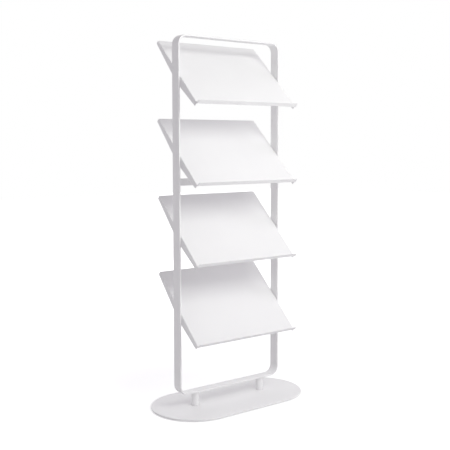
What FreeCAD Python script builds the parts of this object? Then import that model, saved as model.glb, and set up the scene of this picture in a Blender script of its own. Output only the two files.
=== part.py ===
import FreeCAD, Part
import math
import os

from FreeCAD import Vector

# Periodical display rack: a flat steel bar bent into a tall ring stands on two short posts
# over a heavy base plate, and carries tilted sheet-metal trays with an upturned lip.
# All sizes are in millimetres. The origin is on the floor under the middle of the base,
# +Z is up, X runs along the base, and the lips of the trays face -Y.

# Ring frame, a flat bar on edge
overall_height = 1500.0
frame_width = 515.0
bar_depth = 46.0
bar_thickness = 6.0
ring_corner_radius = 40.0
bar_edge_chamfer = 0.8

# Base plate with round ends, its floor pads, and the posts between base and ring
base_length = 700.0
base_depth = 360.0
base_thickness = 8.0
base_edge_chamfer = 1.2
pad_length = 40.0
pad_width = 20.0
pad_thickness = 2.0
pad_inset = 12.0
post_diameter = 32.0
post_height = 56.0
post_inset = 87.5

# Crossbar, a square tube between the uprights, level with the front edge of one tray
crossbar_size = 28.0
crossbar_wall = 2.0
crossbar_corner_radius = 3.0
crossbar_tray = 2
crossbar_rise = 10.0

# Trays, each folded from one sheet: tray 1 hangs from the top, the others share the height
tray_count = 4
top_tray_drop = 9.0
lowest_front_edge = 286.5
tray_tilt = 43.8
tray_slope_length = 382.0
tray_side_gap = 0.2
sheet_thickness = 2.0
bend_inside_radius = 2.0
lip_height = 18.5
lip_corner_radius = 2.0
back_flange_depth = 13.0
side_flange_depth_at_back = 13.0
side_flange_depth_at_frame = 34.0
side_flange_depth_at_front = 17.5
side_flange_corner_radius = 3.0
side_flange_crest_radius = 20.0

# Hexagon screws from inside the side flanges into blind holes in the uprights. The flanges have
# slots, open at their edge, that drop over the screws
tray_screw_diameter = 5.0
tray_screw_head_across_flats = 8.0
tray_screw_head_height = 3.5
tray_screw_spacing = 28.0
tray_screw_slot_play = 0.25
tray_screw_tip_clearance = 0.7
blind_hole_floor = 1.5

# Countersunk screws from under the base into the posts
base_screw_diameter = 8.0
base_screw_head_diameter = 16.0
base_screw_socket = 5.0
base_screw_socket_depth = 2.6
base_screw_engagement = 16.0
base_screw_tip_clearance = 4.0
base_screw_hole_play = 0.3

# Threads are left plain: a tapped hole is this much wider, in radius, than its screw
thread_play = 0.05

# Derived sizes
plate_top = pad_thickness + base_thickness
ring_bottom = plate_top + post_height
inner_width = frame_width - 2 * bar_thickness
bar_hole_depth = bar_thickness - blind_hole_floor
tray_width = inner_width - 2 * tray_side_gap
tray_front = -tray_slope_length / 2
tray_back = tray_slope_length / 2
bend_outside_radius = bend_inside_radius + sheet_thickness
tilt = math.radians(tray_tilt)
tray_rise = tray_slope_length * math.sin(tilt)
highest_front_edge = overall_height - top_tray_drop - tray_rise
tray_pitch = (highest_front_edge - lowest_front_edge) / (tray_count - 1)

along_x = Vector(1, 0, 0)
along_y = Vector(0, 1, 0)
along_z = Vector(0, 0, 1)
length_tolerance = 1e-6


def line(start, end):
    return Part.LineSegment(start, end).toShape()


def arc(start, middle, end):
    return Part.Arc(start, middle, end).toShape()


def polygon_face(points):
    return Part.Face(Part.makePolygon(points + points[:1]))


def edges_along(shape, direction):
    """The straight edges of a shape that run along one direction."""
    found = []
    for edge in shape.Edges:
        if isinstance(edge.Curve, Part.Line):
            run = edge.Vertexes[-1].Point - edge.Vertexes[0].Point
            if run.cross(direction).Length < length_tolerance:
                found.append(edge)
    return found


def rounded_block(size, centre, direction, radius):
    """A block about its centre, with its four edges along one direction rounded."""
    block = Part.makeBox(size.x, size.y, size.z, centre - size / 2)
    return block.makeFillet(radius, edges_along(block, direction))


def hex_prism(across_flats, height):
    """A hexagonal prism that stands on z = 0, for the heads and sockets of the screws."""
    corner_distance = across_flats / math.sqrt(3)
    turns = [math.radians(60 * corner) for corner in range(6)]
    corners = [Vector(math.cos(turn), math.sin(turn), 0) * corner_distance for turn in turns]
    return polygon_face(corners).extrude(along_z * height)


def front_edge_height(tray):
    """Height of a tray's front edge over the floor; tray 1 is the top one."""
    return highest_front_edge - (tray - 1) * tray_pitch


def place_on_tray(shape, tray):
    """Turns a shape from a tray's own frame, panel on XY and lip towards -Y, into the rack."""
    placed = shape.copy()
    placed.rotate(Vector(0, 0, 0), along_x, tray_tilt)
    placed.translate(along_z * (front_edge_height(tray) + tray_rise / 2))
    return placed


def at_frame_plane(depth):
    """Where, along a tray, a point this deep under its panel lies in the ring's middle plane."""
    return -depth * math.tan(tilt)


def tray_screw_spots():
    """The screw axes on a side flange: place along the tray, and depth under its panel."""
    depth = side_flange_depth_at_frame / 2
    middle = at_frame_plane(depth)
    return [(middle + side * tray_screw_spacing / 2, depth) for side in (-1, 1)]


# Base, pads, posts and their screws


def base_plate():
    """A steel plate with half-round ends, softened edges and two countersunk holes."""
    end_radius = base_depth / 2
    straight_end = base_length / 2 - end_radius
    corners = [
        Vector(-straight_end, -end_radius, pad_thickness),
        Vector(straight_end, -end_radius, pad_thickness),
        Vector(straight_end, end_radius, pad_thickness),
        Vector(-straight_end, end_radius, pad_thickness),
    ]
    tip = Vector(base_length / 2, 0, pad_thickness)
    other_tip = Vector(-base_length / 2, 0, pad_thickness)
    outline = Part.Wire([
        line(corners[0], corners[1]),
        arc(corners[1], tip, corners[2]),
        line(corners[2], corners[3]),
        arc(corners[3], other_tip, corners[0]),
    ])
    plate = Part.Face(outline).extrude(along_z * base_thickness)
    rims = [edge for edge in plate.Edges if edge.BoundBox.ZLength < length_tolerance]
    plate = plate.makeChamfer(base_edge_chamfer, rims)
    for side in (-1, 1):
        plate = plate.cut(base_screw_hole(post_foot(side) - along_z * base_thickness))
    return plate


def post_foot(side):
    """Middle of a post's lower end, on top of the base plate; side is -1 left or 1 right."""
    return Vector(side * (frame_width / 2 - post_inset), 0, plate_top)


def base_screw_hole(start):
    """Cutter for a countersunk hole through the base plate, from its underside up."""
    head_radius = base_screw_head_diameter / 2 + base_screw_hole_play
    shank_radius = base_screw_diameter / 2 + base_screw_hole_play
    sink = Part.makeCone(head_radius, shank_radius, head_radius - shank_radius, start)
    return sink.fuse(Part.makeCylinder(shank_radius, base_thickness, start))


def base_screw(side):
    """A countersunk screw, its head flush with the underside of the base plate."""
    head_radius = base_screw_head_diameter / 2
    shank_radius = base_screw_diameter / 2
    tip = base_thickness + base_screw_engagement
    profile = [
        Vector(0, 0, 0),
        Vector(head_radius, 0, 0),
        Vector(shank_radius, 0, head_radius - shank_radius),
        Vector(shank_radius, 0, tip),
        Vector(0, 0, tip),
    ]
    screw = polygon_face(profile).revolve(Vector(0, 0, 0), along_z, 360)
    screw = screw.cut(hex_prism(base_screw_socket, base_screw_socket_depth))
    screw.translate(post_foot(side) - along_z * base_thickness)
    return screw


def spacer_post(side):
    """A round post with a tapped hole up from its foot."""
    foot = post_foot(side)
    post = Part.makeCylinder(post_diameter / 2, post_height, foot)
    tapped_radius = base_screw_diameter / 2 + thread_play
    tapped_depth = base_screw_engagement + base_screw_tip_clearance
    return post.cut(Part.makeCylinder(tapped_radius, tapped_depth, foot))


def floor_pads():
    """Thin flat pads under the base: one at each tip, and one at each end of both long sides."""
    tip_x = base_length / 2 - pad_inset - pad_width / 2
    side_x = base_length / 2 - base_depth / 2
    side_y = base_depth / 2 - pad_inset - pad_width / 2
    pads = {}
    for side, side_name in ((-1, "left"), (1, "right")):
        pads[f"floor_pad_front_{side_name}"] = floor_pad(side * side_x, -side_y, along_x)
        pads[f"floor_pad_{side_name}"] = floor_pad(side * tip_x, 0, along_y)
        pads[f"floor_pad_back_{side_name}"] = floor_pad(side * side_x, side_y, along_x)
    return pads


def floor_pad(x, y, direction):
    """A pad on the floor about x, y, with its long sides along one direction."""
    length = direction * pad_length
    width = along_z.cross(direction) * pad_width
    corner = Vector(x, y, 0) - (length + width) / 2
    outline = [corner, corner + length, corner + length + width, corner + width]
    return polygon_face(outline).extrude(along_z * pad_thickness)


# Ring frame and crossbar


def ring_frame():
    """The flat bar bent into a closed ring, with blind tapped holes for the tray screws."""
    ring_height = overall_height - ring_bottom
    middle = Vector(0, 0, ring_bottom + ring_height / 2)
    outer_size = Vector(frame_width, bar_depth, ring_height)
    inner_size = Vector(inner_width, 2 * bar_depth, ring_height - 2 * bar_thickness)
    inner_radius = ring_corner_radius - bar_thickness
    outside = rounded_block(outer_size, middle, along_y, ring_corner_radius)
    inside = rounded_block(inner_size, middle, along_y, inner_radius)
    ring = outside.cut(inside)
    rims = [edge for edge in ring.Edges if edge.BoundBox.YLength < length_tolerance]
    ring = ring.makeChamfer(bar_edge_chamfer, rims)
    return ring.cut(tray_screw_holes_in_ring())


def tray_screw_holes_in_ring():
    radius = tray_screw_diameter / 2 + thread_play
    holes = []
    for side in (-1, 1):
        for place, depth in tray_screw_spots():
            mouth = Vector(side * inner_width / 2, place, -depth)
            hole = Part.makeCylinder(radius, bar_hole_depth, mouth, along_x * side)
            holes += [place_on_tray(hole, tray) for tray in range(1, tray_count + 1)]
    return Part.makeCompound(holes)


def crossbar():
    """A square tube whose ends meet the inner faces of the uprights."""
    height = front_edge_height(crossbar_tray) + crossbar_rise
    middle = along_z * height
    hollow_size = crossbar_size - 2 * crossbar_wall
    hollow_radius = crossbar_corner_radius - crossbar_wall
    outside = Vector(inner_width, crossbar_size, crossbar_size)
    hollow = Vector(inner_width, hollow_size, hollow_size)
    tube = rounded_block(outside, middle, along_x, crossbar_corner_radius)
    return tube.cut(rounded_block(hollow, middle, along_x, hollow_radius))


# Trays, in their own frame: the panel's upper face is z = 0 and the lip is towards -Y


def fold(centre, start_way, end_way, leg, sweep):
    """Sheet that bends a quarter turn about centre, from start_way to end_way, then runs on
    straight for leg, all swept along one vector."""
    middle_way = (start_way + end_way) / math.sqrt(2)
    outer = [centre + way * bend_outside_radius for way in (start_way, middle_way, end_way)]
    inner = [centre + way * bend_inside_radius for way in (start_way, middle_way, end_way)]
    outer_end = outer[2] - start_way * leg
    inner_end = inner[2] - start_way * leg
    section = Part.Wire([
        line(inner[0], outer[0]),
        arc(*outer),
        line(outer[2], outer_end),
        line(outer_end, inner_end),
        line(inner_end, inner[2]),
        arc(inner[2], inner[1], inner[0]),
    ])
    return Part.Face(section).extrude(sweep)


def panel():
    """The flat of the tray, between its four folds."""
    corner = Vector(-tray_width / 2, tray_front, -sheet_thickness)
    inset = Vector(bend_outside_radius, bend_outside_radius, 0)
    width = tray_width - 2 * bend_outside_radius
    length = tray_slope_length - 2 * bend_outside_radius
    return Part.makeBox(width, length, sheet_thickness, corner + inset)


def lip():
    """The upturned lip, over the whole width of the tray, with its top corners rounded."""
    centre_height = bend_inside_radius
    centre = Vector(-tray_width / 2, tray_front + bend_outside_radius, centre_height)
    leg = lip_height - centre_height
    strip = fold(centre, -along_z, -along_y, leg, along_x * tray_width)
    top_corners = []
    for edge in edges_along(strip, along_y):
        if edge.Vertexes[0].Z > lip_height - length_tolerance:
            top_corners.append(edge)
    return strip.makeFillet(lip_corner_radius, top_corners)


def back_flange():
    """The short flange folded down along the back, with a relief notch at each end."""
    start = Vector(-tray_width / 2, tray_back, 0)
    centre = start + Vector(bend_outside_radius, -bend_outside_radius, -bend_outside_radius)
    leg = back_flange_depth - bend_outside_radius
    width = tray_width - 2 * bend_outside_radius
    return fold(centre, along_z, along_y, leg, along_x * width)


def side_flange(side):
    """A flange folded down along one side and trimmed to a shallow V, deepest at the frame."""
    start = Vector(side * tray_width / 2, tray_front, 0)
    centre = start + Vector(-side * bend_outside_radius, bend_outside_radius, -bend_outside_radius)
    leg = side_flange_depth_at_frame - bend_outside_radius
    length = tray_slope_length - 2 * bend_outside_radius
    return fold(centre, along_z, along_x * side, leg, along_y * length).common(flange_trim())


def flange_trim():
    """A block as wide as the tray, in the shape of the side flanges seen from the side."""
    left = -tray_width / 2
    front = tray_front + bend_outside_radius
    back = tray_back - bend_outside_radius
    crest = Vector(left, at_frame_plane(side_flange_depth_at_frame), -side_flange_depth_at_frame)
    front_foot = Vector(left, front, -side_flange_depth_at_front)
    back_foot = Vector(left, back, -side_flange_depth_at_back)
    outline = [Vector(left, front, 0), Vector(left, back, 0), back_foot, crest, front_foot]
    block = polygon_face(outline).extrude(along_x * tray_width)
    block = block.makeFillet(side_flange_crest_radius, edges_through(block, [crest]))
    feet = edges_through(block, [front_foot, back_foot])
    return block.makeFillet(side_flange_corner_radius, feet)


def edges_through(shape, points):
    """The edges along X that start or end at one of some points."""
    found = []
    for edge in edges_along(shape, along_x):
        ends = [vertex.Point for vertex in edge.Vertexes]
        if any(end.isEqual(point, length_tolerance) for end in ends for point in points):
            found.append(edge)
    return found


def shelf_tray():
    tray = panel().fuse([lip(), back_flange(), side_flange(-1), side_flange(1)])
    return tray.removeSplitter().cut(tray_screw_slots())


def tray_screw_slots():
    """Cutters for the slots in both side flanges, from the screws down past the flanges' edge."""
    radius = tray_screw_diameter / 2 + tray_screw_slot_play
    slots = []
    for place, depth in tray_screw_spots():
        start = Vector(-tray_width / 2, place, -depth)
        corner = start - Vector(0, radius, side_flange_depth_at_frame)
        mouth = Part.makeBox(tray_width, 2 * radius, side_flange_depth_at_frame, corner)
        slots.append(mouth.fuse(Part.makeCylinder(radius, tray_width, start, along_x)))
    return Part.makeCompound(slots)


def tray_screw():
    """A hexagon screw along Z: the seat under its head is z = 0 and the shank goes down."""
    reach = sheet_thickness + tray_side_gap + bar_hole_depth - tray_screw_tip_clearance
    head = hex_prism(tray_screw_head_across_flats, tray_screw_head_height)
    return head.fuse(Part.makeCylinder(tray_screw_diameter / 2, reach, -along_z * reach))


def tray_screws():
    """The screws of one tray, two through each side flange."""
    seat = tray_width / 2 - sheet_thickness
    screws = []
    for side in (-1, 1):
        for place, depth in tray_screw_spots():
            screw = tray_screw()
            screw.rotate(Vector(0, 0, 0), along_y, -90 * side)
            screw.translate(Vector(side * seat, place, -depth))
            screws.append(screw)
    return Part.makeCompound(screws)


def rack():
    """Every node of the rack by name."""
    nodes = {
        "base_plate": base_plate(),
        "base_screws": Part.makeCompound([base_screw(-1), base_screw(1)]),
        "spacer_post_left": spacer_post(-1),
        "spacer_post_right": spacer_post(1),
        "ring_frame": ring_frame(),
        "crossbar": crossbar(),
    }
    nodes.update(floor_pads())
    tray = shelf_tray()
    screws = tray_screws()
    for number in range(1, tray_count + 1):
        nodes[f"shelf_tray_{number}"] = place_on_tray(tray, number)
        nodes[f"shelf_tray_{number}_screws"] = place_on_tray(screws, number)
    return nodes


os.makedirs("parts", exist_ok=True)
for name, shape in rack().items():
    if not shape.isValid():
        raise ValueError(f"{name} isn't a valid shape")
    shape.exportStep(f"parts/{name}.step")
    print(f"{name}: {len(shape.Solids)} solid(s), {shape.Volume / 1000:.2f} cm3")
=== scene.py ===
import math

import bmesh
import bpy
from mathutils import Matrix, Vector


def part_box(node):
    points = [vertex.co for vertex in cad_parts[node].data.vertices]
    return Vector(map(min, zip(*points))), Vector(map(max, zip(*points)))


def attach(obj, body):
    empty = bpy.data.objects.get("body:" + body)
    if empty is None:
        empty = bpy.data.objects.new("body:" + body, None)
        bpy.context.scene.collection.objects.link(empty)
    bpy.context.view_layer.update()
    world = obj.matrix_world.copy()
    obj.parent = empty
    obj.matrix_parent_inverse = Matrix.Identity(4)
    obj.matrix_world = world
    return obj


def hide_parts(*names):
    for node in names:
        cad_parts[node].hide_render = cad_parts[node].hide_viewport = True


# A periodical display rack in white powder coat. Lengths are in metres, angles in degrees,
# +Z is up, X runs along the base plate and the lips of the trays face -Y.

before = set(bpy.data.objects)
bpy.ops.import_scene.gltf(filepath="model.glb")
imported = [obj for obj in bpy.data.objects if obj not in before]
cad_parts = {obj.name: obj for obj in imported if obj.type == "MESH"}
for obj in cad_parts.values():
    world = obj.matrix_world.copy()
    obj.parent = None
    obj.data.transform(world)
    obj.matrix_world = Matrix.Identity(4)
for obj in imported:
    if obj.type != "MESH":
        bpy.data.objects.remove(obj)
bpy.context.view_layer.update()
print("frame loaded:", len(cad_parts), "nodes")


# Small helpers for working in edit mode and with modifiers

tiny = 1e-6
rimAngle = 60  # edges that bend more than this are rims
smoothAngle = 35  # edges that bend less than this look smooth


def near(value, target):
    return abs(value - target) < tiny


def onlySelect(piece):
    bpy.ops.object.select_all(action="DESELECT")
    piece.select_set(True)
    bpy.context.view_layer.objects.active = piece


def added(name):
    # the primitive that was just added gets its name
    piece = bpy.context.object
    piece.name = name
    piece.data.name = name
    return piece


def startEdit():
    bpy.ops.object.mode_set(mode="EDIT")


def endEdit():
    bpy.ops.object.mode_set(mode="OBJECT")


def pick(kind, place):
    # selects each vertex in a place, each edge with both ends in it,
    # or each face with its middle in it
    bpy.ops.mesh.select_mode(type=kind)
    bpy.ops.mesh.select_all(action="DESELECT")
    mesh = bmesh.from_edit_mesh(bpy.context.object.data)
    if kind == "VERT":
        for corner in mesh.verts:
            corner.select_set(place(corner.co))
    elif kind == "EDGE":
        for edge in mesh.edges:
            edge.select_set(place(edge.verts[0].co) and place(edge.verts[1].co))
    else:
        for face in mesh.faces:
            face.select_set(place(face.calc_center_median()))
    bmesh.update_edit_mesh(bpy.context.object.data)


def pickAlong(direction):
    # selects the edges that run along one direction
    bpy.ops.mesh.select_mode(type="EDGE")
    bpy.ops.mesh.select_all(action="DESELECT")
    mesh = bmesh.from_edit_mesh(bpy.context.object.data)
    for edge in mesh.edges:
        run = edge.verts[1].co - edge.verts[0].co
        edge.select_set(run.cross(direction).length < tiny)
    bmesh.update_edit_mesh(bpy.context.object.data)


def pickRims():
    # selects the edges between two faces that meet at about a right angle
    bpy.ops.mesh.select_mode(type="EDGE")
    bpy.ops.mesh.select_all(action="DESELECT")
    bpy.ops.mesh.edges_select_sharp(sharpness=math.radians(rimAngle))


def extrude(z):
    bpy.ops.mesh.extrude_region_move(TRANSFORM_OT_translate={"value": (0.0, 0.0, z)})


def roundEdges(radius, steps):
    bpy.ops.mesh.bevel(offset=radius, segments=steps, affect="EDGES")


def roundCorners(radius, steps):
    bpy.ops.mesh.bevel(offset=radius, segments=steps, affect="VERTICES")


def outwards():
    # merges what lies together, and turns all faces outwards
    bpy.ops.mesh.select_all(action="SELECT")
    bpy.ops.mesh.remove_doubles(threshold=tiny)
    bpy.ops.mesh.normals_make_consistent(inside=False)


def modify(piece, kind, **settings):
    # adds a modifier, sets it and applies it
    onlySelect(piece)
    modifier = piece.modifiers.new(kind.title(), kind)
    for name, value in settings.items():
        setattr(modifier, name, value)
    bpy.ops.object.modifier_apply(modifier=modifier.name)


def cut(piece, cutter, operation="DIFFERENCE"):
    modify(piece, "BOOLEAN", object=cutter, operation=operation, solver="EXACT")
    bpy.data.objects.remove(cutter)


def smooth(piece):
    onlySelect(piece)
    bpy.ops.object.shade_smooth_by_angle(angle=math.radians(smoothAngle))
    modify(piece, "WEIGHTED_NORMAL", keep_sharp=True)


def settle(piece):
    # the object's place goes into its mesh
    onlySelect(piece)
    bpy.ops.object.transform_apply(location=True, rotation=True, scale=True)


def copied(piece, name):
    onlySelect(piece)
    bpy.ops.object.duplicate()
    return added(name)


def joined(pieces, name):
    onlySelect(pieces[0])
    for piece in pieces[1:]:
        piece.select_set(True)
    bpy.ops.object.join()
    return added(name)


def finished(piece, node, finish):
    # the piece stands for its CAD node, rides on the rack and gets its finish
    piece.data.materials.clear()
    piece.data.materials.append(finish)
    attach(piece, "root")
    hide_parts(node)


# Finishes


def groupOf(name, inputs, outputs):
    # an empty node group with its sockets, and its two end nodes
    tree = bpy.data.node_groups.new(name, "ShaderNodeTree")
    for socketName, kind, value in inputs:
        socket = tree.interface.new_socket(socketName, in_out="INPUT", socket_type=kind)
        socket.default_value = value
    for socketName, kind in outputs:
        tree.interface.new_socket(socketName, in_out="OUTPUT", socket_type=kind)
    return tree, tree.nodes.new("NodeGroupInput"), tree.nodes.new("NodeGroupOutput")


def node(tree, kind, **settings):
    made = tree.nodes.new(kind)
    for name, value in settings.items():
        setattr(made, name, value)
    return made


def feed(tree, socket, value):
    # links a socket to another one, or gives it a plain value
    if isinstance(value, bpy.types.NodeSocket):
        tree.links.new(value, socket)
    else:
        socket.default_value = value


def noise(tree, place, scale, detail):
    # the scale is in features per metre, because the pattern is laid in object coordinates
    made = node(tree, "ShaderNodeTexNoise")
    made.inputs["Detail"].default_value = detail
    feed(tree, made.inputs["Scale"], scale)
    tree.links.new(place, made.inputs["Vector"])
    return made.outputs["Fac"]


def calculate(tree, operation, first, second):
    made = node(tree, "ShaderNodeMath", operation=operation)
    feed(tree, made.inputs[0], first)
    feed(tree, made.inputs[1], second)
    return made.outputs["Value"]


def weighted(tree, first, firstShare, second, secondShare):
    firstPart = calculate(tree, "MULTIPLY", first, firstShare)
    secondPart = calculate(tree, "MULTIPLY", second, secondShare)
    return calculate(tree, "ADD", firstPart, secondPart)


# most values of a noise lie between these
noiseLow = 0.3
noiseHigh = 0.7


def spread(tree, value, low, high):
    # brings a noise from its usual range out to another one
    made = node(tree, "ShaderNodeMapRange")
    made.inputs["From Min"].default_value = noiseLow
    made.inputs["From Max"].default_value = noiseHigh
    tree.links.new(value, made.inputs["Value"])
    feed(tree, made.inputs["To Min"], low)
    feed(tree, made.inputs["To Max"], high)
    return made.outputs["Result"]


# a mix node has sockets for every kind of data, and these are the ones for colors
mixShare, mixFirst, mixSecond, mixResult = 0, 6, 7, 2


def blendColors(tree, share, first, second):
    made = node(tree, "ShaderNodeMix", data_type="RGBA")
    feed(tree, made.inputs[mixShare], share)
    feed(tree, made.inputs[mixFirst], first)
    feed(tree, made.inputs[mixSecond], second)
    return made.outputs[mixResult]


def bumps(tree, height, depth):
    made = node(tree, "ShaderNodeBump")
    made.inputs["Strength"].default_value = 1.0
    feed(tree, made.inputs["Distance"], depth)
    tree.links.new(height, made.inputs["Height"])
    return made.outputs["Normal"]


# a place is flat while its own normal and the one rounded over its surroundings agree this
# closely, and fully an edge once they agree only this far
edgeLook = {"samples": 6, "flatFrom": 0.99, "edgeFrom": 0.80}


def edgeMaskGroup():
    # 1 on rounded edges and corners, 0 on flats
    tree, given, put = groupOf(
        "edge mask",
        [("Width", "NodeSocketFloat", 0.002)],
        [("Mask", "NodeSocketFloat")],
    )
    rounded = node(tree, "ShaderNodeBevel", samples=edgeLook["samples"])
    tree.links.new(given.outputs["Width"], rounded.inputs["Radius"])
    flat = node(tree, "ShaderNodeNewGeometry")
    dot = node(tree, "ShaderNodeVectorMath", operation="DOT_PRODUCT")
    tree.links.new(rounded.outputs["Normal"], dot.inputs[0])
    tree.links.new(flat.outputs["Normal"], dot.inputs[1])
    mask = node(tree, "ShaderNodeMapRange")
    mask.inputs["From Min"].default_value = edgeLook["flatFrom"]
    mask.inputs["From Max"].default_value = edgeLook["edgeFrom"]
    tree.links.new(dot.outputs["Value"], mask.inputs["Value"])
    tree.links.new(mask.outputs["Result"], put.inputs["Mask"])
    return tree


# a share says how much of a pattern goes into a mix, and edge polish is taken off the roughness
coatLook = {
    "peelDetail": 1.5,
    "grainDetail": 2.0,
    "grainHeightShare": 0.25,
    "driftScale": 5.0,
    "driftDetail": 4.0,
    "driftToneShare": 0.7,
    "grainToneShare": 0.3,
    "smudgeScale": 38.0,
    "smudgeDetail": 3.0,
    "smudgeGlossShare": 0.6,
    "grainGlossShare": 0.4,
    "edgePolish": 0.06,
}


def coatGroup():
    # sprayed and baked powder: orange peel, a fine grain over it, slow drifts of tone and gloss, and
    # a painted highlight on the edges
    look = coatLook
    tree, given, put = groupOf(
        "sprayed coat",
        [
            ("Light Color", "NodeSocketColor", (1, 1, 1, 1)),
            ("Dark Color", "NodeSocketColor", (1, 1, 1, 1)),
            ("Edge Highlight Color", "NodeSocketColor", (1, 1, 1, 1)),
            ("Edge", "NodeSocketFloat", 0.0),
            ("Peel Scale", "NodeSocketFloat", 300.0),
            ("Grain Scale", "NodeSocketFloat", 2000.0),
            ("Depth", "NodeSocketFloat", 0.0001),
            ("Smooth Roughness", "NodeSocketFloat", 0.4),
            ("Dull Roughness", "NodeSocketFloat", 0.5),
        ],
        [
            ("Color", "NodeSocketColor"),
            ("Roughness", "NodeSocketFloat"),
            ("Normal", "NodeSocketVector"),
        ],
    )
    edge = given.outputs["Edge"]
    place = node(tree, "ShaderNodeTexCoord").outputs["Object"]
    peel = noise(tree, place, given.outputs["Peel Scale"], look["peelDetail"])
    grain = noise(tree, place, given.outputs["Grain Scale"], look["grainDetail"])
    drift = noise(tree, place, look["driftScale"], look["driftDetail"])
    smudge = noise(tree, place, look["smudgeScale"], look["smudgeDetail"])
    grainHeight = calculate(tree, "MULTIPLY", grain, look["grainHeightShare"])
    normal = bumps(tree, calculate(tree, "ADD", peel, grainHeight), given.outputs["Depth"])
    speck = weighted(tree, drift, look["driftToneShare"], grain, look["grainToneShare"])
    tone = spread(tree, speck, 0.0, 1.0)
    coat = blendColors(tree, tone, given.outputs["Dark Color"], given.outputs["Light Color"])
    # rounded edges are lightened towards the edge colour: a painted highlight, not a colour of the
    # coat
    highlighted = blendColors(tree, edge, coat, given.outputs["Edge Highlight Color"])
    gloss = weighted(tree, smudge, look["smudgeGlossShare"], grain, look["grainGlossShare"])
    dull = spread(tree, gloss, given.outputs["Smooth Roughness"], given.outputs["Dull Roughness"])
    rubbed = calculate(tree, "SUBTRACT", dull, calculate(tree, "MULTIPLY", edge, look["edgePolish"]))
    tree.links.new(highlighted, put.inputs["Color"])
    tree.links.new(rubbed, put.inputs["Roughness"])
    tree.links.new(normal, put.inputs["Normal"])
    return tree


edgeMask = edgeMaskGroup()
sprayedCoat = coatGroup()

whiteCoat = {
    "lightColor": (0.862, 0.860, 0.862, 1.0),
    "darkColor": (0.836, 0.833, 0.838, 1.0),
    # the lighter colour laid along rounded edges is a painted highlight
    "edgeHighlightColor": (0.875, 0.874, 0.875, 1.0),
    "edgeWidth": 0.0016,
    "peelScale": 420.0,
    "grainScale": 2600.0,
    "smoothRoughness": 0.42,
    "dullRoughness": 0.56,
    "specular": 0.42,
}

coatDepths = {"tray": 0.0001, "frame": 0.00012, "base": 0.00014}


def newMaterial(name):
    material = bpy.data.materials.new(name)
    material.use_nodes = True
    return material, material.node_tree, material.node_tree.nodes["Principled BSDF"]


def powderCoat(name, depth):
    coat = whiteCoat
    material, tree, shader = newMaterial(name)
    edge = node(tree, "ShaderNodeGroup", node_tree=edgeMask)
    edge.inputs["Width"].default_value = coat["edgeWidth"]
    spray = node(tree, "ShaderNodeGroup", node_tree=sprayedCoat)
    spray.inputs["Light Color"].default_value = coat["lightColor"]
    spray.inputs["Dark Color"].default_value = coat["darkColor"]
    spray.inputs["Edge Highlight Color"].default_value = coat["edgeHighlightColor"]
    spray.inputs["Peel Scale"].default_value = coat["peelScale"]
    spray.inputs["Grain Scale"].default_value = coat["grainScale"]
    spray.inputs["Depth"].default_value = depth
    spray.inputs["Smooth Roughness"].default_value = coat["smoothRoughness"]
    spray.inputs["Dull Roughness"].default_value = coat["dullRoughness"]
    tree.links.new(edge.outputs["Mask"], spray.inputs["Edge"])
    for socket, target in (("Color", "Base Color"), ("Roughness", "Roughness"), ("Normal", "Normal")):
        tree.links.new(spray.outputs[socket], shader.inputs[target])
    shader.inputs["Specular IOR Level"].default_value = coat["specular"]
    return material


zinc = {
    "brightColor": (0.74, 0.75, 0.76, 1.0),
    "dullColor": (0.60, 0.62, 0.66, 1.0),
    "wornColor": (0.82, 0.82, 0.82, 1.0),
    "edgeWidth": 0.0006,
    "cloudScale": 260.0,
    "cloudDetail": 4.0,
    "markScale": 3800.0,
    "markDetail": 3.0,
    "markDepth": 0.00002,
    "smoothRoughness": 0.26,
    "dullRoughness": 0.42,
}


def zincPlate():
    # thin passivated plating: cloudy tone, fine drawing marks and brighter edges
    material, tree, shader = newMaterial("zinc plate")
    place = node(tree, "ShaderNodeTexCoord").outputs["Object"]
    cloud = noise(tree, place, zinc["cloudScale"], zinc["cloudDetail"])
    marks = noise(tree, place, zinc["markScale"], zinc["markDetail"])
    edge = node(tree, "ShaderNodeGroup", node_tree=edgeMask)
    edge.inputs["Width"].default_value = zinc["edgeWidth"]
    plate = blendColors(tree, spread(tree, cloud, 0.0, 1.0), zinc["dullColor"], zinc["brightColor"])
    color = blendColors(tree, edge.outputs["Mask"], plate, zinc["wornColor"])
    gloss = spread(tree, cloud, zinc["smoothRoughness"], zinc["dullRoughness"])
    tree.links.new(color, shader.inputs["Base Color"])
    tree.links.new(gloss, shader.inputs["Roughness"])
    tree.links.new(bumps(tree, marks, zinc["markDepth"]), shader.inputs["Normal"])
    shader.inputs["Metallic"].default_value = 1.0
    return material


padPlastic = {
    "color": (0.72, 0.72, 0.71, 1.0),
    "dustColor": (0.60, 0.59, 0.57, 1.0),
    "dustScale": 120.0,
    "dustDetail": 5.0,
    "dustShare": 0.8,
    "grainScale": 1500.0,
    "grainDetail": 3.0,
    "grainDepth": 0.00008,
    "smoothRoughness": 0.62,
    "dullRoughness": 0.78,
}


def softPlastic():
    # matt moulded plastic with a fine grain and a little floor dust in it
    look = padPlastic
    material, tree, shader = newMaterial("pad plastic")
    place = node(tree, "ShaderNodeTexCoord").outputs["Object"]
    grain = noise(tree, place, look["grainScale"], look["grainDetail"])
    dust = noise(tree, place, look["dustScale"], look["dustDetail"])
    dusty = spread(tree, dust, 0.0, look["dustShare"])
    color = blendColors(tree, dusty, look["color"], look["dustColor"])
    gloss = spread(tree, grain, look["smoothRoughness"], look["dullRoughness"])
    tree.links.new(color, shader.inputs["Base Color"])
    tree.links.new(gloss, shader.inputs["Roughness"])
    tree.links.new(bumps(tree, grain, look["grainDepth"]), shader.inputs["Normal"])
    return material


trayFinish = powderCoat("tray powder coat", coatDepths["tray"])
frameFinish = powderCoat("frame powder coat", coatDepths["frame"])
baseFinish = powderCoat("base powder coat", coatDepths["base"])
zincFinish = zincPlate()
padFinish = softPlastic()
print("finishes made:", len(bpy.data.materials))


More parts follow.
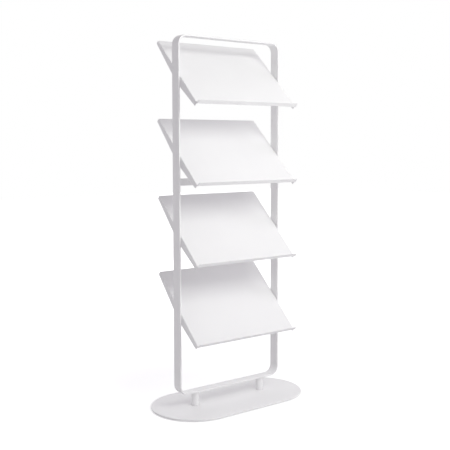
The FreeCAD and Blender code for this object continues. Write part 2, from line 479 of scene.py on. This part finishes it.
# Ring frame, a flat bar bent into a closed ring

ring = {
    "thickness": 0.006,
    "cornerRadius": 0.040,
    "cornerSteps": 18,
    "edgeRadius": 0.0009,
    "edgeSteps": 3,
}


def faceOutwards(piece, middle):
    # turns an open band's faces away from its middle, if they don't look that way yet
    face = piece.data.polygons[0]
    inside = (face.center - middle).dot(face.normal) < 0
    if inside:
        onlySelect(piece)
        startEdit()
        bpy.ops.mesh.select_all(action="SELECT")
        bpy.ops.mesh.flip_normals()
        endEdit()
    return inside


def makeRing():
    low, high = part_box("ring_frame")
    size = high - low
    middle = (low + high) / 2
    # the plane lies flat as width by height, and stands up when it is finished
    bpy.ops.mesh.primitive_plane_add(size=1)
    piece = added("ringFrame")
    startEdit()
    bpy.ops.transform.resize(value=(size.x, size.z, 1))
    bpy.ops.mesh.select_mode(type="VERT")
    bpy.ops.mesh.select_all(action="SELECT")
    roundCorners(ring["cornerRadius"], ring["cornerSteps"])
    bpy.ops.mesh.select_all(action="SELECT")
    bpy.ops.mesh.delete(type="ONLY_FACE")
    bpy.ops.mesh.select_all(action="SELECT")
    extrude(z=size.y)
    outwards()
    endEdit()
    piece.rotation_euler.x = math.radians(90)
    piece.location = (middle.x, high.y, middle.z)
    settle(piece)
    if faceOutwards(piece, middle):
        print("ring's faces turned outwards")
    modify(piece, "SOLIDIFY", thickness=ring["thickness"], offset=-1, use_even_offset=True)
    startEdit()
    pickRims()
    roundEdges(ring["edgeRadius"], ring["edgeSteps"])
    endEdit()
    smooth(piece)
    finished(piece, "ring_frame", frameFinish)


makeRing()
print("ring frame modelled")


# Crossbar between the uprights, which close its ends, so it is modelled solid

crossbar = {"cornerRadius": 0.003, "cornerSteps": 6}


def makeCrossbar():
    low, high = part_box("crossbar")
    size = high - low
    middle = (low + high) / 2
    bpy.ops.mesh.primitive_cube_add(size=1, location=middle, scale=size)
    piece = added("crossBar")
    settle(piece)
    startEdit()
    pickAlong(Vector((1, 0, 0)))
    roundEdges(crossbar["cornerRadius"], crossbar["cornerSteps"])
    endEdit()
    smooth(piece)
    finished(piece, "crossbar", frameFinish)


makeCrossbar()
print("crossbar modelled")


# Base plate with half-round ends and two countersunk holes

base = {
    "endSteps": 40,
    "edgeRadius": 0.0015,
    "edgeSteps": 4,
    "screwRadius": 0.004,
    "screwHeadRadius": 0.008,
    "screwSteps": 48,
    "holePlay": 0.0003,
}


def postPlaces():
    # the middle of each post, level with the top of the base plate
    places = {}
    for side in ("left", "right"):
        low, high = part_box("spacer_post_" + side)
        places[side] = Vector(((low.x + high.x) / 2, (low.y + high.y) / 2, low.z))
    return places


def countersink(foot, play, depth, name):
    # a cone that widens to the underside of the plate, and a shank up from it
    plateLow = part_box("base_plate")[0].z
    headRadius = base["screwHeadRadius"] + play
    shankRadius = base["screwRadius"] + play
    bpy.ops.mesh.primitive_circle_add(
        vertices=base["screwSteps"], radius=headRadius, fill_type="NGON",
        location=(foot.x, foot.y, plateLow),
    )
    piece = added(name)
    settle(piece)
    startEdit()
    bpy.ops.mesh.select_all(action="SELECT")
    extrude(z=headRadius - shankRadius)
    share = shankRadius / headRadius
    top = (foot.x, foot.y, plateLow + headRadius - shankRadius)
    bpy.ops.transform.resize(value=(share, share, 1), center_override=top)
    extrude(z=depth)
    outwards()
    endEdit()
    return piece


def makeBase():
    low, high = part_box("base_plate")
    size = high - low
    middle = (low + high) / 2
    bpy.ops.mesh.primitive_plane_add(size=1, location=(middle.x, middle.y, low.z))
    piece = added("basePlate")
    settle(piece)
    startEdit()
    bpy.ops.mesh.select_mode(type="VERT")
    bpy.ops.transform.resize(value=(size.x, size.y, 1))
    bpy.ops.mesh.select_all(action="SELECT")
    roundCorners(size.y / 2, base["endSteps"])
    bpy.ops.mesh.select_all(action="SELECT")
    bpy.ops.mesh.remove_doubles(threshold=tiny)
    bpy.ops.mesh.select_all(action="SELECT")
    extrude(z=size.z)
    outwards()
    pickRims()
    roundEdges(base["edgeRadius"], base["edgeSteps"])
    endEdit()
    for foot in postPlaces().values():
        cut(piece, countersink(foot, base["holePlay"], size.z, "cutter"))
    smooth(piece)
    finished(piece, "base_plate", baseFinish)


makeBase()
print("base plate modelled")


# Round posts between base and ring

post = {"steps": 72, "edgeRadius": 0.0008, "edgeSteps": 3}


def makePosts():
    for side in ("left", "right"):
        low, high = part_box("spacer_post_" + side)
        bpy.ops.mesh.primitive_cylinder_add(
            vertices=post["steps"], radius=(high.x - low.x) / 2, depth=high.z - low.z,
            location=(low + high) / 2,
        )
        piece = added("spacerPost" + side.title())
        settle(piece)
        startEdit()
        pickRims()
        roundEdges(post["edgeRadius"], post["edgeSteps"])
        endEdit()
        smooth(piece)
        finished(piece, "spacer_post_" + side, frameFinish)


makePosts()
print("posts modelled")


# Trays, each folded from one sheet. Own frame: the panel's upper face is z = 0, the lip is at -Y

tray = {
    "tilt": 43.8,
    "slopeLength": 0.382,
    "sheet": 0.002,
    "bendRadius": 0.002,
    "bendSteps": 8,
    "lipHeight": 0.0185,
    "lipCornerRadius": 0.002,
    "backFlange": 0.013,
    "flangeAtBack": 0.013,
    "flangeAtFrame": 0.034,
    "flangeAtFront": 0.0175,
    "flangeCornerRadius": 0.003,
    "crestRadius": 0.020,
    "cornerSteps": 5,
    "cornerGap": 0.0008,
    "rimRadius": 0.0003,
    "rimSteps": 2,
    "slotWidth": 0.0055,
    "slotSteps": 32,
    "cutterReach": 2.2,  # length of the slots' cutters, in half widths of the tray
    "screwSpacing": 0.028,
}

tilt = math.radians(tray["tilt"])
outerBend = tray["bendRadius"] + tray["sheet"]
trayFront = -tray["slopeLength"] / 2
trayBack = tray["slopeLength"] / 2
crestPlace = -tray["flangeAtFrame"] * math.tan(tilt)
trayNumbers = range(1, 5)


def trayNode(number):
    return "shelf_tray_" + str(number)


def screwSpots():
    # place along the tray and depth under the panel of the two screws of one side
    depth = tray["flangeAtFrame"] / 2
    middle = -depth * math.tan(tilt)
    return [(middle + side * tray["screwSpacing"] / 2, depth) for side in (-1, 1)]


def placeOnRack(piece, number):
    # tilts a finished shape and lifts it until its tray's back bend is as high as the node's
    bendTop = (trayBack - outerBend) * math.sin(tilt) - outerBend * math.cos(tilt) + outerBend
    piece.rotation_euler.x = tilt
    piece.location.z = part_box(trayNode(number))[1].z - bendTop
    settle(piece)


def foldedSheet():
    # one side of the sheet: the panel's upper face, the flanges' outer and the lip's inner faces
    low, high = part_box(trayNode(1))
    half = (high.x - low.x) / 2
    fold = trayFront + tray["sheet"]
    frontCut = trayFront + outerBend + tray["cornerGap"]
    backCut = trayBack - outerBend - tray["cornerGap"]
    sideCut = half - outerBend - tray["cornerGap"]
    flangeFoot = -tray["flangeAtBack"]

    def onSide(p):
        return near(abs(p.x), half)

    def alongFlange(p):
        return frontCut - tiny < p.y < backCut + tiny

    def atFlangeEnd(p):
        return near(p.y, frontCut) or near(p.y, backCut)

    bpy.ops.mesh.primitive_plane_add(size=1)
    piece = added("shelfTray1")
    startEdit()
    bpy.ops.transform.resize(value=(2 * half, trayBack - fold, 1))
    bpy.ops.transform.translate(value=(0, (trayBack + fold) / 2, 0))
    # lines across the blank where the flanges end and where they are deepest
    for place, direction in (
        ((0, frontCut, 0), (0, 1, 0)),
        ((0, crestPlace, 0), (0, 1, 0)),
        ((0, backCut, 0), (0, 1, 0)),
        ((-sideCut, 0, 0), (1, 0, 0)),
        ((sideCut, 0, 0), (1, 0, 0)),
    ):
        bpy.ops.mesh.select_all(action="SELECT")
        bpy.ops.mesh.bisect(plane_co=place, plane_no=direction)
    # the back corners are cut away so that three flanges can fold down
    pick("FACE", lambda p: p.y > backCut and abs(p.x) > sideCut)
    bpy.ops.mesh.delete(type="FACE")
    for side in (-1, 1):
        pick("EDGE", lambda p: near(p.x, side * half) and alongFlange(p))
        extrude(z=flangeFoot)
    pick("EDGE", lambda p: near(p.y, trayBack))
    extrude(z=-tray["backFlange"])
    pick("EDGE", lambda p: near(p.y, fold))
    extrude(z=tray["lipHeight"])
    # the side flanges get their shallow V
    for place, depth in ((crestPlace, tray["flangeAtFrame"]), (frontCut, tray["flangeAtFront"])):
        pick("VERT", lambda p: onSide(p) and near(p.y, place) and near(p.z, flangeFoot))
        bpy.ops.transform.translate(value=(0, 0, tray["flangeAtBack"] - depth))
    # the crest's corner is cut back this far on both sides to get its radius
    frontDrop = tray["flangeAtFrame"] - tray["flangeAtFront"]
    backDrop = tray["flangeAtFrame"] - tray["flangeAtBack"]
    frontSlope = math.atan(frontDrop / (crestPlace - frontCut))
    backSlope = math.atan(backDrop / (backCut - crestPlace))
    crestCut = tray["crestRadius"] * math.tan((frontSlope + backSlope) / 2)
    pick("VERT", lambda p: onSide(p) and near(p.y, crestPlace) and p.z < -tiny)
    roundCorners(crestCut, tray["cornerSteps"])
    pick("VERT", lambda p: onSide(p) and p.z < -tiny and atFlangeEnd(p))
    roundCorners(tray["flangeCornerRadius"], tray["cornerSteps"])
    pick("VERT", lambda p: onSide(p) and near(p.z, tray["lipHeight"]))
    roundCorners(tray["lipCornerRadius"], tray["cornerSteps"])
    # the folds themselves
    pick("EDGE", lambda p: onSide(p) and near(p.z, 0) and alongFlange(p))
    roundEdges(outerBend, tray["bendSteps"])
    pick("EDGE", lambda p: near(p.y, trayBack) and near(p.z, 0))
    roundEdges(outerBend, tray["bendSteps"])
    pick("EDGE", lambda p: near(p.y, fold) and near(p.z, 0))
    roundEdges(tray["bendRadius"], tray["bendSteps"])
    endEdit()
    return piece


def slotCutters():
    # the slots of both side flanges, from the screws down past the flanges' edge
    width = tray["slotWidth"]
    drop = tray["flangeAtFrame"]
    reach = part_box(trayNode(1))[1].x * tray["cutterReach"]
    parts = []
    for place, depth in screwSpots():
        bpy.ops.mesh.primitive_cylinder_add(
            vertices=tray["slotSteps"], radius=width / 2, depth=reach,
            location=(0, place, -depth), rotation=(0, math.radians(90), 0),
        )
        parts.append(bpy.context.object)
        bpy.ops.mesh.primitive_cube_add(
            size=1, location=(0, place, -depth - drop / 2), scale=(reach, width, drop)
        )
        parts.append(bpy.context.object)
    return parts


def makeTrays():
    piece = foldedSheet()
    modify(piece, "SOLIDIFY", thickness=tray["sheet"], offset=-1, use_even_offset=True)
    for cutter in slotCutters():
        settle(cutter)
        cut(piece, cutter)
    startEdit()
    pickRims()
    roundEdges(tray["rimRadius"], tray["rimSteps"])
    outwards()
    endEdit()
    smooth(piece)
    trays = [piece] + [copied(piece, "shelfTray" + str(number)) for number in trayNumbers[1:]]
    for number, each in zip(trayNumbers, trays):
        placeOnRack(each, number)
        finished(each, trayNode(number), trayFinish)


makeTrays()
print("trays modelled")


# Hexagon screws of the trays, and countersunk screws under the base

hexScrew = {
    "headAcrossFlats": 0.008,
    "headHeight": 0.0035,
    "shankRadius": 0.0025,
    "shankLength": 0.006,
    "shankSteps": 32,
    "washerFace": 0.0002,
    "washerSteps": 48,
    "crownShare": 0.95,  # flat part of the crown, as a share of the width across flats
    "crownSteps": 64,
    "chamferAngle": 30.0,
    "edgeRadius": 0.0001,
}


def makeHexScrew():
    # own frame: the seat under the head is z = 0 and the shank points down
    screw = hexScrew
    corner = screw["headAcrossFlats"] / math.sqrt(3)
    height = screw["headHeight"]
    washer = screw["washerFace"]
    length = screw["shankLength"]
    bpy.ops.mesh.primitive_cylinder_add(
        vertices=6, radius=corner, depth=height - washer, location=(0, 0, (height + washer) / 2)
    )
    head = added("hexHead")
    settle(head)
    # a flat cone takes the six corners off the crown of the head
    flatRadius = screw["headAcrossFlats"] / 2 * screw["crownShare"]
    slope = math.tan(math.radians(screw["chamferAngle"]))
    bpy.ops.mesh.primitive_cone_add(
        vertices=screw["crownSteps"], radius1=flatRadius + height / slope, radius2=flatRadius,
        depth=height, location=(0, 0, height / 2),
    )
    crown = bpy.context.object
    settle(crown)
    cut(head, crown, "INTERSECT")
    # the washer face and the shank reach up into the head, so that the three fuse into one
    bpy.ops.mesh.primitive_cylinder_add(
        vertices=screw["washerSteps"], radius=flatRadius, depth=2 * washer, location=(0, 0, washer)
    )
    face = bpy.context.object
    settle(face)
    bpy.ops.mesh.primitive_cylinder_add(
        vertices=screw["shankSteps"], radius=screw["shankRadius"], depth=length + height / 2,
        location=(0, 0, (height / 2 - length) / 2),
    )
    shank = bpy.context.object
    settle(shank)
    for part in (face, shank):
        cut(head, part, "UNION")
    startEdit()
    pickRims()
    roundEdges(screw["edgeRadius"], 1)
    outwards()
    endEdit()
    smooth(head)
    return head


def makeTrayScrews():
    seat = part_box(trayNode(1))[1].x - tray["sheet"]
    pattern = makeHexScrew()
    for number in trayNumbers:
        screws = []
        for side in (-1, 1):
            for place, depth in screwSpots():
                screw = copied(pattern, "screw")
                screw.rotation_euler = (0, math.radians(-90 * side), 0)
                screw.location = (side * seat, place, -depth)
                settle(screw)
                screws.append(screw)
        piece = joined(screws, "trayScrews" + str(number))
        placeOnRack(piece, number)
        finished(piece, trayNode(number) + "_screws", zincFinish)
    bpy.data.objects.remove(pattern)


makeTrayScrews()

baseScrew = {"length": 0.020, "socketAcrossFlats": 0.005, "socketDepth": 0.0026}


def makeBaseScrews():
    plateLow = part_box("base_plate")[0].z
    screws = []
    for side, foot in postPlaces().items():
        screw = countersink(foot, 0.0, baseScrew["length"], "countersunk" + side.title())
        # half of this prism stands out under the plate
        bpy.ops.mesh.primitive_cylinder_add(
            vertices=6, radius=baseScrew["socketAcrossFlats"] / math.sqrt(3),
            depth=2 * baseScrew["socketDepth"], location=(foot.x, foot.y, plateLow),
        )
        socket = bpy.context.object
        settle(socket)
        cut(screw, socket)
        smooth(screw)
        screws.append(screw)
    piece = joined(screws, "baseScrews")
    finished(piece, "base_screws", zincFinish)


makeBaseScrews()
print("screws modelled")


# Pads under the base

pad = {"cornerRadius": 0.004, "cornerSteps": 6, "rimRadius": 0.0004, "rimSteps": 2}


def makePads():
    for name in ("front_left", "left", "back_left", "front_right", "right", "back_right"):
        low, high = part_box("floor_pad_" + name)
        size = high - low
        middle = (low + high) / 2
        bpy.ops.mesh.primitive_cube_add(size=1, location=middle, scale=size)
        piece = added("floorPad" + name.title().replace("_", ""))
        settle(piece)
        startEdit()
        pickAlong(Vector((0, 0, 1)))
        roundEdges(pad["cornerRadius"], pad["cornerSteps"])
        pickRims()
        roundEdges(pad["rimRadius"], pad["rimSteps"])
        endEdit()
        smooth(piece)
        finished(piece, "floor_pad_" + name, padFinish)


makePads()
print("pads modelled")


# Studio: a pale floor, a white surround and soft lights

studio = {
    "floorSize": 24.0,
    "floorColor": (0.80, 0.80, 0.80, 1.0),
    "floorRoughness": 0.9,
    "nearGlow": 0.47,
    "farGlow": 1.0,
    "nearReach": 0.5,
    "farReach": 3.0,
    "surroundLevel": 0.465,
    "surroundColor": (1.008, 0.976, 1.016, 1.0),
    "seenLevel": 1.0,
    "seenColor": (1.0, 1.0, 1.0, 1.0),
}


def seenDirectly(tree):
    # 1 for rays from the camera, from gloss and through glass, which see plain white
    rays = node(tree, "ShaderNodeLightPath").outputs
    direct = calculate(tree, "MAXIMUM", rays["Is Camera Ray"], rays["Is Glossy Ray"])
    return calculate(tree, "MAXIMUM", direct, rays["Is Transmission Ray"])


def makeSurround():
    world = bpy.data.worlds.new("studio")
    bpy.context.scene.world = world
    world.use_nodes = True
    tree = world.node_tree
    background = tree.nodes["Background"]
    seen = seenDirectly(tree)
    level = node(tree, "ShaderNodeMix", data_type="FLOAT")
    level.inputs["A"].default_value = studio["surroundLevel"]
    level.inputs["B"].default_value = studio["seenLevel"]
    tree.links.new(seen, level.inputs["Factor"])
    tree.links.new(level.outputs["Result"], background.inputs["Strength"])
    color = blendColors(tree, seen, studio["surroundColor"], studio["seenColor"])
    tree.links.new(color, background.inputs["Color"])


def makeFloor():
    # the open floor reads as white, and keeps the shadow close to the rack
    bpy.ops.mesh.primitive_plane_add(size=studio["floorSize"])
    floor = added("floor")
    material, tree, shader = newMaterial("pale floor")
    shader.inputs["Base Color"].default_value = studio["floorColor"]
    shader.inputs["Roughness"].default_value = studio["floorRoughness"]
    shader.inputs["Specular IOR Level"].default_value = 0.0
    shader.inputs["Emission Strength"].default_value = 1.0
    reach = node(tree, "ShaderNodeVectorMath", operation="LENGTH")
    tree.links.new(node(tree, "ShaderNodeTexCoord").outputs["Object"], reach.inputs[0])
    glow = node(tree, "ShaderNodeMapRange")
    glow.inputs["From Min"].default_value = studio["nearReach"]
    glow.inputs["From Max"].default_value = studio["farReach"]
    glow.inputs["To Min"].default_value = studio["nearGlow"]
    glow.inputs["To Max"].default_value = studio["farGlow"]
    tree.links.new(reach.outputs["Value"], glow.inputs["Value"])
    seen = calculate(tree, "MULTIPLY", seenDirectly(tree), glow.outputs["Result"])
    tree.links.new(seen, shader.inputs["Emission Color"])
    floor.data.materials.append(material)


lamps = {
    "front": {
        "azimuth": 0, "elevation": 20, "distance": 4.0,
        "width": 2.0, "height": 2.0, "power": 22.8,
    },
    "key": {
        "azimuth": 12, "elevation": 31.5, "distance": 2.2,
        "width": 1.4, "height": 1.0, "power": 19.8,
    },
    "left": {
        "azimuth": -80, "elevation": 20, "distance": 4.0,
        "width": 2.0, "height": 2.0, "power": 6.0,
    },
    "right": {
        "azimuth": 80, "elevation": 20, "distance": 4.0,
        "width": 2.0, "height": 2.0, "power": 27.5,
    },
    "back": {
        "azimuth": 180, "elevation": 9, "distance": 3.5,
        "width": 4.0, "height": 2.5, "power": 31.0,
    },
}

# the key leans a touch towards yellow green, and the rest towards violet
keyColor = (1.0, 1.032, 0.975)
fillColor = (1.0, 0.97, 1.03)
lampTarget = Vector((0.0, 0.0, 0.75))


def makeLamps():
    # azimuth is counted from straight in front towards the right
    for name, lamp in lamps.items():
        side = math.radians(lamp["azimuth"])
        rise = math.radians(lamp["elevation"])
        flat = math.cos(rise)
        away = Vector((math.sin(side) * flat, -math.cos(side) * flat, math.sin(rise)))
        data = bpy.data.lights.new(name, "AREA")
        data.shape = "RECTANGLE"
        data.size = lamp["width"]
        data.size_y = lamp["height"]
        data.energy = lamp["power"]
        data.color = keyColor if name == "key" else fillColor
        light = bpy.data.objects.new(name, data)
        light.location = lampTarget + away * lamp["distance"]
        light.rotation_euler = away.to_track_quat("Z", "Y").to_euler()
        light.visible_camera = False
        bpy.context.scene.collection.objects.link(light)


# azimuth is counted from straight in front towards the left, and turn is added to the view
# from there to the middle
camera = {
    "azimuth": 37.461,
    "turn": -0.202,
    "distance": 3.2814,
    "height": 1.0740,
    "pitch": 4.229,
    "roll": 0.130,
    "lens": 63.52,
    "sensorWidth": 36.0,
    "shiftY": -0.05,
}


def makeCamera():
    # it stands to the left of the front and looks slightly down, with a nearly level horizon
    data = bpy.data.cameras.new("camera")
    data.lens = camera["lens"]
    data.sensor_width = camera["sensorWidth"]
    data.shift_y = camera["shiftY"]
    eye = bpy.data.objects.new("camera", data)
    side = math.radians(camera["azimuth"])
    eye.location = (
        -math.sin(side) * camera["distance"],
        -math.cos(side) * camera["distance"],
        camera["height"],
    )
    heading = -math.radians(camera["azimuth"] + camera["turn"])
    eye.rotation_euler = (math.radians(90 - camera["pitch"]), math.radians(camera["roll"]), heading)
    bpy.context.scene.collection.objects.link(eye)
    bpy.context.scene.camera = eye


makeSurround()
makeFloor()
makeLamps()
makeCamera()
bpy.context.scene.view_settings.view_transform = "Standard"
print("studio set up")
